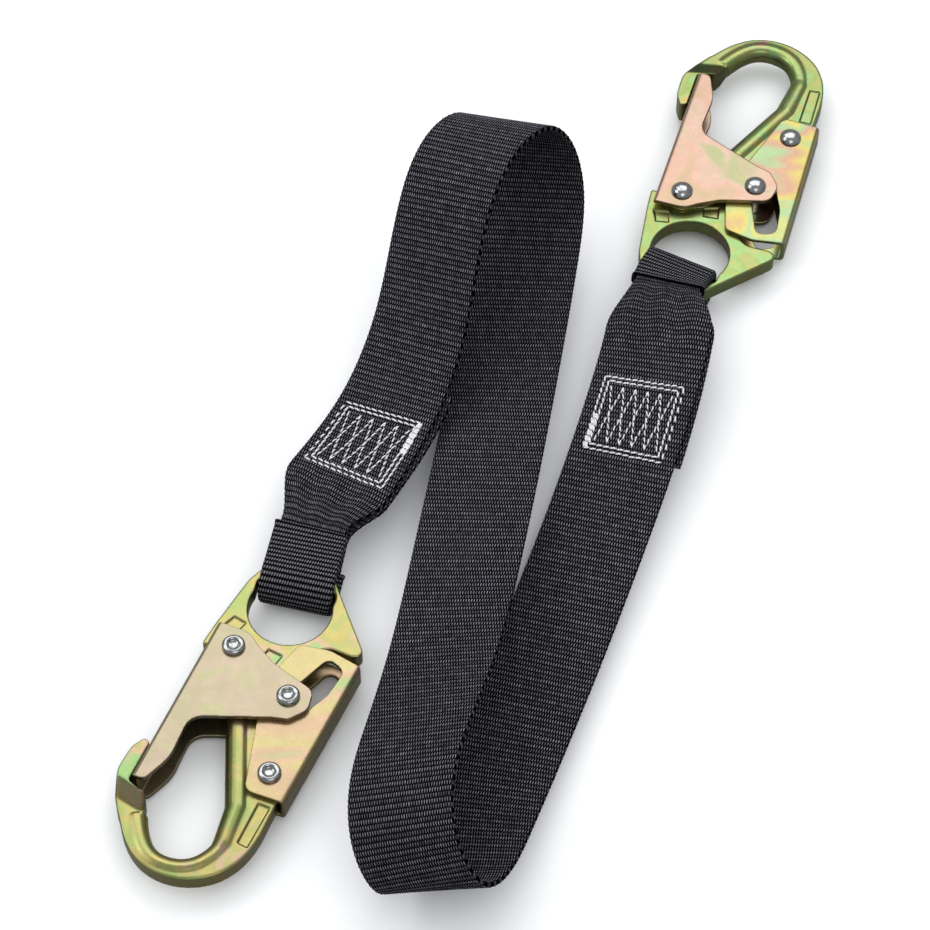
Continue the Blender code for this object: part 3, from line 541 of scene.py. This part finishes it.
def finishes():
    green, olive, gold = (0.44, 0.54, 0.18), (0.54, 0.54, 0.21), (0.66, 0.54, 0.20)
    lime, pink, peach = (0.40, 0.62, 0.25), (0.72, 0.42, 0.30), (0.74, 0.50, 0.34)
    yellow, cyan = (0.76, 0.66, 0.20), (0.46, 0.66, 0.36)
    return {
        "left_forging": plating("forged_zinc_gold", (
            (0.30, green), (0.42, olive), (0.48, gold), (0.53, olive), (0.60, peach), (0.68, lime)), 16.0),
        "right_forging": plating("forged_zinc_green", (
            (0.30, gold), (0.40, lime), (0.48, green), (0.55, olive), (0.62, lime), (0.70, pink)), 16.0),
        "left_gate": plating("gate_zinc_tan", (
            (0.30, (0.54, 0.52, 0.32)), (0.42, (0.57, 0.49, 0.33)), (0.54, (0.62, 0.50, 0.37)),
            (0.66, (0.56, 0.53, 0.31))), 18.0),
        "right_gate": plating("gate_zinc_pink", (
            (0.30, (0.68, 0.50, 0.33)), (0.44, (0.78, 0.50, 0.38)), (0.56, (0.76, 0.54, 0.42)),
            (0.68, (0.54, 0.54, 0.30))), 16.0),
        "left_lever": plating("lever_zinc_gold", (
            (0.30, lime), (0.38, peach), (0.46, (0.70, 0.55, 0.30)), (0.53, (0.70, 0.60, 0.28)),
            (0.60, peach), (0.70, lime)), 26.0, streaked=True),
        "right_lever": plating("lever_zinc_rainbow", (
            (0.30, pink), (0.38, yellow), (0.45, cyan), (0.51, yellow), (0.57, pink), (0.63, cyan),
            (0.70, yellow)), 26.0, streaked=True),
        "rivet": bright_zinc(),
        "spring": drawn_wire(),
        "webbing": woven_fabric(),
        "sleeve": sleeve_fabric(),
        "thread": white_thread(),
    }


# ---- fabric pieces --------------------------------------------------------------------------------

def woven_webbing(webbing):
    """The webbing as a weave: floats rise and sink by turns over the ribs, and its edges are scalloped."""
    along = np.arange(0, webbing.length, RIB_PITCH / ROWS_PER_RIB)
    centre, across, normal, width = webbing.at(along)
    column = np.arange(WARP_COLUMNS)
    share = 2 * column / (WARP_COLUMNS - 1) - 1
    rib = np.sin(math.pi * along / RIB_PITCH)[:, None]
    swell = RIB_HEIGHT * (np.abs(rib) - 0.6) - LOW_RIB * (rib < 0)
    weave = FLOAT_HEIGHT * np.cos(math.pi * column) * rib
    flat = width[:, None] / 2 - SELVEDGE
    angles = np.radians((50, 0, -50))
    bulge = SELVEDGE - SCALLOP * (1 - np.abs(rib))
    edge_u, edge_v = flat + bulge * np.cos(angles), (WEB_HALF + swell) * np.sin(angles)
    u = np.hstack((flat * share, edge_u, flat * share[::-1], -edge_u[:, ::-1]))
    v = np.hstack((WEB_HALF + weave + swell, edge_v, weave[:, ::-1] - WEB_HALF - swell, edge_v[:, ::-1]))
    lift = webbing.pucker(along[:, None], u / (width[:, None] / 2))
    points = centre[:, None] + u[..., None] * across[:, None] + (v + lift)[..., None] * normal[:, None]
    x = np.r_[column, [WARP_COLUMNS] * 3, column[::-1], [-1] * 3]
    edge = (x < 0) | (x == WARP_COLUMNS)
    cloth = np.stack(np.broadcast_arrays(x, along[:, None] / RIB_PITCH, edge), axis=-1)
    rows, columns = u.shape
    return mesh_object("woven_webbing", points.reshape(-1, 3), ring_faces(rows, columns),
                       ("cloth", cloth.reshape(-1, 3)))


def rounded_rectangle(half_width, half_height, radius, count):
    """Points round a rectangle with rounded corners, evenly by its perimeter, with their outward normals."""
    straight = 2 * (half_width - radius), 2 * (half_height - radius)
    bend = radius * math.pi / 2
    lengths = np.array((straight[1], bend, straight[0], bend) * 2)
    starts = np.r_[0, np.cumsum(lengths)]
    points, facing = [], []
    for distance in np.arange(count) / count * starts[-1]:
        k = int(np.searchsorted(starts, distance, side="right") - 1)
        t = (distance - starts[k]) / lengths[k]
        turn = (k // 2 + (t if k % 2 else 0)) * math.pi / 2
        outward = np.array((math.cos(turn), math.sin(turn)))
        sx, sy = ((1, 1), (-1, 1), (-1, -1), (1, -1))[k // 2]
        corner = np.array((sx * (half_width - radius), sy * (half_height - radius)))
        if k % 2 == 0:
            ahead = np.array((-outward[1], outward[0]))
            corner = corner - ahead * (1 - t) * lengths[k]
        points.append(corner + radius * outward)
        facing.append(outward)
    return np.array(points), np.array(facing)


def woven_sleeve(side, webbing):
    """A thin tubular sleeve round the webbing's loop, with ribs of small beads round it."""
    over, under = SLEEVE_REACH[side]
    start, end = sorted((webbing.from_bar(side, under, under=True), webbing.from_bar(side, over)))
    along = np.linspace(start, end, round((end - start) / SLEEVE_RIB) * SLEEVE_ROWS_PER_RIB + 1)
    centre, across, normal, width = webbing.at(along)
    away = np.minimum(along - start, end - along)
    flare = SLEEVE_FLARE * (1 - smoothstep(away / SLEEVE_MOUTH))
    grow = WEB_HALF + SLEEVE_CLEARANCE
    outer, inner = [], []
    place = np.arange(SLEEVE_COLUMNS)
    bead = np.abs(np.sin(math.pi * place / BEAD_COLUMNS))
    for k in range(len(along)):
        half = width[k] / 2 + SLEEVE_CLEARANCE
        ring, facing = rounded_rectangle(
            half + SLEEVE_WALL, grow + SLEEVE_WALL, SLEEVE_CORNER, SLEEVE_COLUMNS)
        rib = abs(math.sin(math.pi * (along[k] - start) / SLEEVE_RIB))
        height = SLEEVE_RIB_HEIGHT * (rib ** 0.6 * (0.55 + 0.45 * bead) - 0.7) + flare[k]
        outer.append(ring + height[:, None] * facing)
        ring, facing = rounded_rectangle(half, grow, SLEEVE_CORNER - 0.5, SLEEVE_COLUMNS)
        inner.append(ring + flare[k] * facing)
    flat = np.array(outer + inner[::-1])
    order = np.r_[np.arange(len(along)), np.arange(len(along))[::-1]]
    points = (centre[order][:, None] + flat[..., :1] * across[order][:, None]
              + flat[..., 1:] * normal[order][:, None])
    x = np.broadcast_to(place / BEAD_COLUMNS, flat.shape[:2])
    y = np.broadcast_to(((along - start) / SLEEVE_RIB)[order][:, None], flat.shape[:2])
    cloth = np.stack((x, y, np.zeros(x.shape)), axis=-1)
    faces = ring_faces(len(order), SLEEVE_COLUMNS, capped=False, cyclic=True)
    return mesh_object(f"{side}_woven_sleeve", points.reshape(-1, 3), faces, ("cloth", cloth.reshape(-1, 3)))


def stitch_lines(side):
    """Each line of the stitching as (start, end, gap after each stitch, thickness). Its ends are
    (from the bar, across) points."""
    near, far = STITCH_RANGE[side]
    half = STITCH_HALF[side]
    lines = []
    dashed = DASHED_SIDE[side]
    for inset in (0.0, STITCH_INSET):
        a, b, h = near + inset, far - inset, half - inset
        for start, end in (((a, -h), (a, h)), ((b, h), (b, -h))):
            lines.append((start, end, STITCH_GAP, 1.0))
        for sign in (-1, 1):
            gap = DASH_GAP if sign == dashed and inset == 0 else STITCH_GAP
            lines.append(((a, sign * h), (b, sign * h), gap, 1.0))
    inner = half - STITCH_INSET
    ends = (near + ZIGZAG_INSET, far - ZIGZAG_INSET)
    for phase in (0, 1):
        apexes = [(ends[(k + phase) % 2], inner * (2 * share - 1)) for k, share in enumerate(ZIGZAG_PLACES)]
        lines += [(a, b, ZIGZAG_GAP, ZIGZAG_FINENESS) for a, b in zip(apexes, apexes[1:])]
    for shift in TACK_SHIFTS:
        across = -dashed * (half - shift)
        lines.append(((far, across), (far - TACK_LENGTH, across + TACK_SLANT * dashed), TACK_GAP, 1.0))
    return lines


def stitch(start, end, wobble):
    """Centre line of one stitch as (from the bar, across, height) rows: it rises between its two holes."""
    t = np.linspace(0, 1, STITCH_RINGS)
    bow = np.sin(math.pi * t)
    flat = np.outer(1 - t, start) + np.outer(t, end)
    side = np.array((start[1] - end[1], end[0] - start[0])) / max(math.dist(start, end), 1e-6)
    flat += np.outer(bow * wobble + STITCH_SLANT * (2 * t - 1), side)
    height = bow ** 0.45 - 0.55
    return np.c_[flat, height]


def box_stitching(side, webbing):
    random = np.random.default_rng(SIDES.index(side) + STITCH_SEED)
    rows, thickness = [], []
    for start, end, gap, thick in stitch_lines(side):
        start, end = np.array(start), np.array(end)
        length = math.dist(start, end)
        count = max(1, round(length / (STITCH_LENGTH + gap)))
        step = (end - start) / count
        for k in range(count):
            a = start + step * k + step * 0.04 + random.normal(0, STITCH_JITTER, 2)
            b = start + step * (k + 1) - step * (gap / (STITCH_LENGTH + gap))
            b = b + random.normal(0, STITCH_JITTER, 2)
            rows.append(stitch(a, b, random.normal(0, STITCH_WOBBLE)))
            thickness.append(thick)
    rows = np.array(rows)
    flat = rows.reshape(-1, 3)
    along = webbing.from_bar(side, flat[:, 0])
    centre, across, normal, _ = webbing.at(along)
    lift = WEB_HALF + FLOAT_HEIGHT * 0.6 + flat[:, 2] * THREAD_RADIUS
    middle = (centre + flat[:, 1:2] * across + lift[:, None] * normal).reshape(len(rows), STITCH_RINGS, 3)
    ahead = unit(np.gradient(middle, axis=1))
    up = normal.reshape(middle.shape)
    sideways = unit(np.cross(ahead, up))
    up = np.cross(sideways, ahead)
    turn = np.arange(STITCH_SIDES) / STITCH_SIDES * 2 * math.pi
    taper = 0.45 + 0.55 * np.sin(math.pi * np.linspace(0.04, 0.96, STITCH_RINGS)) ** 0.5
    radius = THREAD_RADIUS * np.array(thickness)[:, None, None, None] * taper[None, :, None, None]
    ring = (np.cos(turn)[None, None, :, None] * sideways[:, :, None]
            + np.sin(turn)[None, None, :, None] * up[:, :, None])
    points = middle[:, :, None] + radius * ring
    faces = []
    for k in range(len(rows)):
        faces += ring_faces(STITCH_RINGS, STITCH_SIDES, first=k * STITCH_RINGS * STITCH_SIDES)
    distance = np.arange(STITCH_RINGS) * STITCH_LENGTH / STITCH_RINGS
    cloth = np.stack(np.broadcast_arrays(turn[None, None, :], distance[None, :, None],
                                         np.zeros((len(rows), 1, 1))), axis=-1)
    return mesh_object(f"{side}_thread", points.reshape(-1, 3), faces, ("cloth", cloth.reshape(-1, 3)))


# ---- metal pieces ---------------------------------------------------------------------------------

def applied(obj):
    """The object with its modifiers made part of its mesh."""
    graph = bpy.context.evaluated_depsgraph_get()
    mesh = bpy.data.meshes.new_from_object(obj.evaluated_get(graph))
    mesh.name = obj.name
    obj.modifiers.clear()
    obj.data = mesh
    return obj


def softened(name, node, voxel, smoothing):
    """A copy of a CAD node's shape with its edges rounded, as forging or pressing leaves them."""
    points, triangles = cad_mesh(node)
    obj = mesh_object(name, points, triangles.tolist())
    remesh = obj.modifiers.new("Remesh", "REMESH")
    remesh.mode = "VOXEL"
    remesh.voxel_size = voxel * MM
    remesh.use_smooth_shade = True
    smooth = obj.modifiers.new("Smooth", "SMOOTH")
    smooth.factor = 0.5
    smooth.iterations = smoothing
    return applied(obj)


def panel_depth(points, corners):
    """How deep a recessed panel goes at each point of the hook plane, from 0 outside it to 1."""
    corners = np.array(corners)
    middle = corners.mean(axis=0)
    inside = np.full(len(points), np.inf)
    for a, b in zip(corners, np.roll(corners, -1, axis=0)):
        normal = np.array((a[1] - b[1], b[0] - a[0])) / np.linalg.norm(b - a)
        normal *= math.copysign(1, (middle - a) @ normal)
        inside = np.minimum(inside, (points[:, :2] - a) @ normal)
    return smoothstep(inside / PANEL_EDGE)


def forged_body(side):
    obj = softened(f"{side}_forged_body", f"{side}_hook_body", FORGED_VOXEL, FORGED_SMOOTHING)
    matrix = np.array(hook_matrix(side))
    points = np.empty(len(obj.data.vertices) * 3, np.float32)
    obj.data.vertices.foreach_get("co", points)
    points = points.reshape(-1, 3).astype(float)
    local = (points - matrix[:3, 3]) @ matrix[:3, :3] / MM
    on_face = np.abs(np.abs(local[:, 2]) - FACE_HEIGHT) < FACE_SLACK
    # Painted shade round each panel's rim and a painted dark reflection on the nose step, stored for the
    # plating to darken.
    painted_shade_and_reflection = np.zeros(len(local))
    for corners in PANELS:
        depth = np.where(on_face, panel_depth(local, corners), 0)
        local[:, 2] -= np.sign(local[:, 2]) * PANEL_DEPTH * depth
        painted_shade_and_reflection = np.maximum(painted_shade_and_reflection, 4 * depth * (1 - depth))
    heading = math.radians(NOSE_HEADING)
    along = local[:, :2] @ np.array((math.cos(heading), math.sin(heading)))
    step = smoothstep(along - NOSE_STEP[0] + NOSE_BLUR) * smoothstep(NOSE_STEP[1] + NOSE_BLUR - along)
    painted_shade_and_reflection = np.maximum(painted_shade_and_reflection, np.where(local[:, 0] < NOSE_SIDE, step, 0))
    points = local @ matrix[:3, :3].T * MM + matrix[:3, 3]
    obj.data.vertices.foreach_set("co", points.astype(np.float32).ravel())
    obj.data.attributes.new("painted_shade_and_reflection", "FLOAT", "POINT").data.foreach_set("value", painted_shade_and_reflection.astype(np.float32))
    obj.data.update()
    return obj


def turned(name, profile, matrix):
    """A turned piece about z from a smooth line through (radius, z) points."""
    profile = np.array(profile, float)
    knots = np.r_[0, np.cumsum(np.linalg.norm(np.diff(profile, axis=0), axis=1))]
    spans = zip(knots, knots[1:])
    at = np.concatenate([np.linspace(a, b, PROFILE_STEPS, endpoint=False) for a, b in spans])
    line = resample(profile, knots, np.r_[at, knots[-1]])
    turn = np.arange(TURNED_STEPS) / TURNED_STEPS * 2 * math.pi
    radius = np.maximum(line[:, :1], 0.02)
    rings = np.stack((radius * np.cos(turn), radius * np.sin(turn), np.repeat(line[:, 1:], len(turn), 1)), -1)
    obj = mesh_object(name, rings.reshape(-1, 3), ring_faces(*rings.shape[:2]))
    obj.data.transform(matrix)
    return obj


def rivet(name, grip, shank, matrix):
    """Flared and dimpled at +z, domed at -z."""
    head = RIVET_HEAD
    flared = [
        (shank, 0), (shank, grip - 0.1), (shank + 0.1, grip), (head - 0.3, grip), (head, grip + 0.25),
        (head - 0.1, grip + 0.8), (head - 0.6, grip + 1.25), (2.6, grip + 1.4), (2.1, grip + 1.2),
        (1.7, grip + 0.75), (1.1, grip + 0.55), (0.0, grip + 0.5),
    ]
    domed = [
        (0.0, -grip - 2.0), (1.2, -grip - 1.93), (2.3, -grip - 1.62), (3.2, -grip - 1.05),
        (head - 0.1, -grip - 0.4), (head, -grip - 0.15), (head - 0.3, -grip), (shank + 0.1, -grip),
        (shank, 0.1 - grip),
    ]
    return turned(name, domed + flared, matrix)


def roller(name, matrix):
    half, outer, bore = ROLLER_HALF, ROLLER_RADIUS, ROLLER_BORE
    face = outer - ROLLER_CHAMFER
    side = half - ROLLER_CHAMFER
    line = np.array([(bore, -half), (face, -half), (outer, -side), (outer, side), (face, half), (bore, half)])
    turn = np.arange(TURNED_STEPS) / TURNED_STEPS * 2 * math.pi
    rings = np.stack((line[:, :1] * np.cos(turn), line[:, :1] * np.sin(turn),
                      np.repeat(line[:, 1:], len(turn), 1)), -1)
    faces = ring_faces(len(line), TURNED_STEPS, capped=False, cyclic=True)
    obj = mesh_object(name, rings.reshape(-1, 3), faces)
    obj.data.set_sharp_from_angle(angle=math.radians(30))
    obj.data.transform(matrix)
    return obj


def wound_spring(name, node):
    """The CAD spring's shape with its wire made round."""
    points, triangles = cad_mesh(node)
    obj = mesh_object(name, points, triangles.tolist())
    weld = obj.modifiers.new("Weld", "WELD")
    weld.merge_threshold = 1e-6
    obj.modifiers.new("Subdivision", "SUBSURF").levels = 2
    return applied(obj)


# ---- assembly -------------------------------------------------------------------------------------

def dress(obj, material, node):
    """Gives the piece its material, and puts it in the place of a CAD node."""
    obj.data.materials.clear()
    obj.data.materials.append(material)
    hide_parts(node)


def fit(obj, material, body, node):
    dress(obj, material, node)
    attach(obj, body)


def build_hook(side, looks):
    hook, gate, lever = f"{side}_hook", f"{side}_gate", f"{side}_lever"
    matrix = hook_matrix(side)
    lock = matrix @ Matrix.Translation(Vector((*LOCK_PIN, 0)) * MM)
    pivot = matrix @ Matrix.Translation(Vector((*LEVER_PIVOT, 0)) * MM)
    fit(forged_body(side), looks[f"{side}_forging"], hook, f"{side}_hook_body")
    folded = softened(f"{side}_folded_gate", gate, SHEET_VOXEL, SHEET_SMOOTHING)
    fit(folded, looks[gate], gate, gate)
    folded = softened(f"{side}_folded_lever", f"{side}_lock_lever", SHEET_VOXEL, SHEET_SMOOTHING)
    fit(folded, looks[lever], lever, f"{side}_lock_lever")
    rivets = (
        ("gate_pivot_rivet", GATE_GRIP, RIVET_SHANK, matrix, hook),
        ("gate_lock_rivet", GATE_GRIP, LOCK_RIVET_SHANK, lock, gate),
        ("lever_pivot_rivet", LEVER_GRIP, RIVET_SHANK, pivot, hook),
    )
    for name, grip, shank, place, body in rivets:
        piece = rivet(f"{side}_turned_{name}", grip, shank, place)
        fit(piece, looks["rivet"], body, f"{side}_{name}")
    piece = roller(f"{side}_turned_roller", lock)
    fit(piece, looks["rivet"], gate, f"{side}_lock_roller")
    piece = wound_spring(f"{side}_wound_lever_spring", f"{side}_lever_spring")
    fit(piece, looks["spring"], hook, f"{side}_lever_spring")
    piece = wound_spring(f"{side}_wound_gate_spring", f"{side}_gate_spring")
    dress(piece, looks["spring"], f"{side}_gate_spring")
    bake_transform(piece)


def build_fabric(looks):
    webbing = Webbing()
    fit(woven_webbing(webbing), looks["webbing"], "root", "webbing_strap")
    for side in SIDES:
        sleeve = woven_sleeve(side, webbing)
        fit(sleeve, looks["sleeve"], "root", f"{side}_wear_sleeve")
        thread = box_stitching(side, webbing)
        fit(thread, looks["thread"], "root", f"{side}_box_stitching")


# ---- studio ---------------------------------------------------------------------------------------

def floor():
    """A pale floor that throws little light back up, so that the undersides stay dark."""
    s = Shade("studio_floor")
    tone = s.ramp(s.noise(s.place(), 300.0), ((0.3, (0.92, 0.92, 0.92)), (0.7, (0.94, 0.94, 0.94))))
    seen = s.add("ShaderNodeLightPath").outputs["Is Camera Ray"]
    material = s.finish(base_color=s.mix(seen, (0.32, 0.32, 0.32), tone), roughness=0.9)
    bpy.ops.mesh.primitive_plane_add(size=FLOOR_SIZE, location=(0, 0, 0))
    plane = bpy.context.object
    plane.name = "floor"
    plane.data.materials.append(material)


def softbox(name, target, azimuth, elevation, distance, size, power):
    """A lamp of this width and height that faces the target. Azimuth 0 is behind the lanyard."""
    a, e = math.radians(azimuth), math.radians(elevation)
    towards = Vector((math.sin(a) * math.cos(e), math.cos(a) * math.cos(e), math.sin(e)))
    lamp = bpy.data.lights.new(name, "AREA")
    lamp.shape = "RECTANGLE"
    lamp.size, lamp.size_y = size
    lamp.energy = power
    obj = bpy.data.objects.new(name, lamp)
    obj.location = target + towards * distance
    obj.rotation_euler = (-towards).to_track_quat("-Z", "Y").to_euler()
    bpy.context.scene.collection.objects.link(obj)


def surroundings():
    """Soft light from above, darker towards the horizon, and darker still where polished metal mirrors it."""
    world = bpy.data.worlds.new("studio")
    world.use_nodes = True
    bpy.context.scene.world = world
    tree = world.node_tree
    background = tree.nodes["Background"]
    background.inputs["Color"].default_value = (0.96, 0.98, 1.0, 1)
    direction = tree.nodes.new("ShaderNodeSeparateXYZ")
    tree.links.new(tree.nodes.new("ShaderNodeTexCoord").outputs["Generated"], direction.inputs[0])
    strength = tree.nodes.new("ShaderNodeMix")
    tree.links.new(tree.nodes.new("ShaderNodeLightPath").outputs["Is Glossy Ray"], strength.inputs[0])
    for socket, levels in ((2, DAYLIGHT), (3, MIRRORED)):
        rising = tree.nodes.new("ShaderNodeMapRange")
        tree.links.new(direction.outputs[2], rising.inputs[0])
        rising.inputs[3].default_value, rising.inputs[4].default_value = levels
        tree.links.new(rising.outputs[0], strength.inputs[socket])
    tree.links.new(strength.outputs[0], background.inputs["Strength"])


def studio():
    scene = bpy.context.scene
    scene.view_settings.view_transform = "Standard"
    surroundings()
    target = Vector(CAMERA_TARGET) * MM
    for name, azimuth, height, distance, size, power in SOFTBOXES:
        softbox(name, target, azimuth, height, distance, size, power)
    floor()
    elevation = math.radians(CAMERA_ELEVATION)
    back = Vector((0, -math.cos(elevation), math.sin(elevation)))
    lens = bpy.data.cameras.new("camera")
    lens.lens = CAMERA_LENS
    camera = bpy.data.objects.new("camera", lens)
    camera.location = target + back * CAMERA_DISTANCE * MM
    camera.rotation_euler = (-back).to_track_quat("-Z", "Y").to_euler()
    scene.collection.objects.link(camera)
    scene.camera = camera


looks = finishes()
build_fabric(looks)
for side in SIDES:
    build_hook(side, looks)
studio()
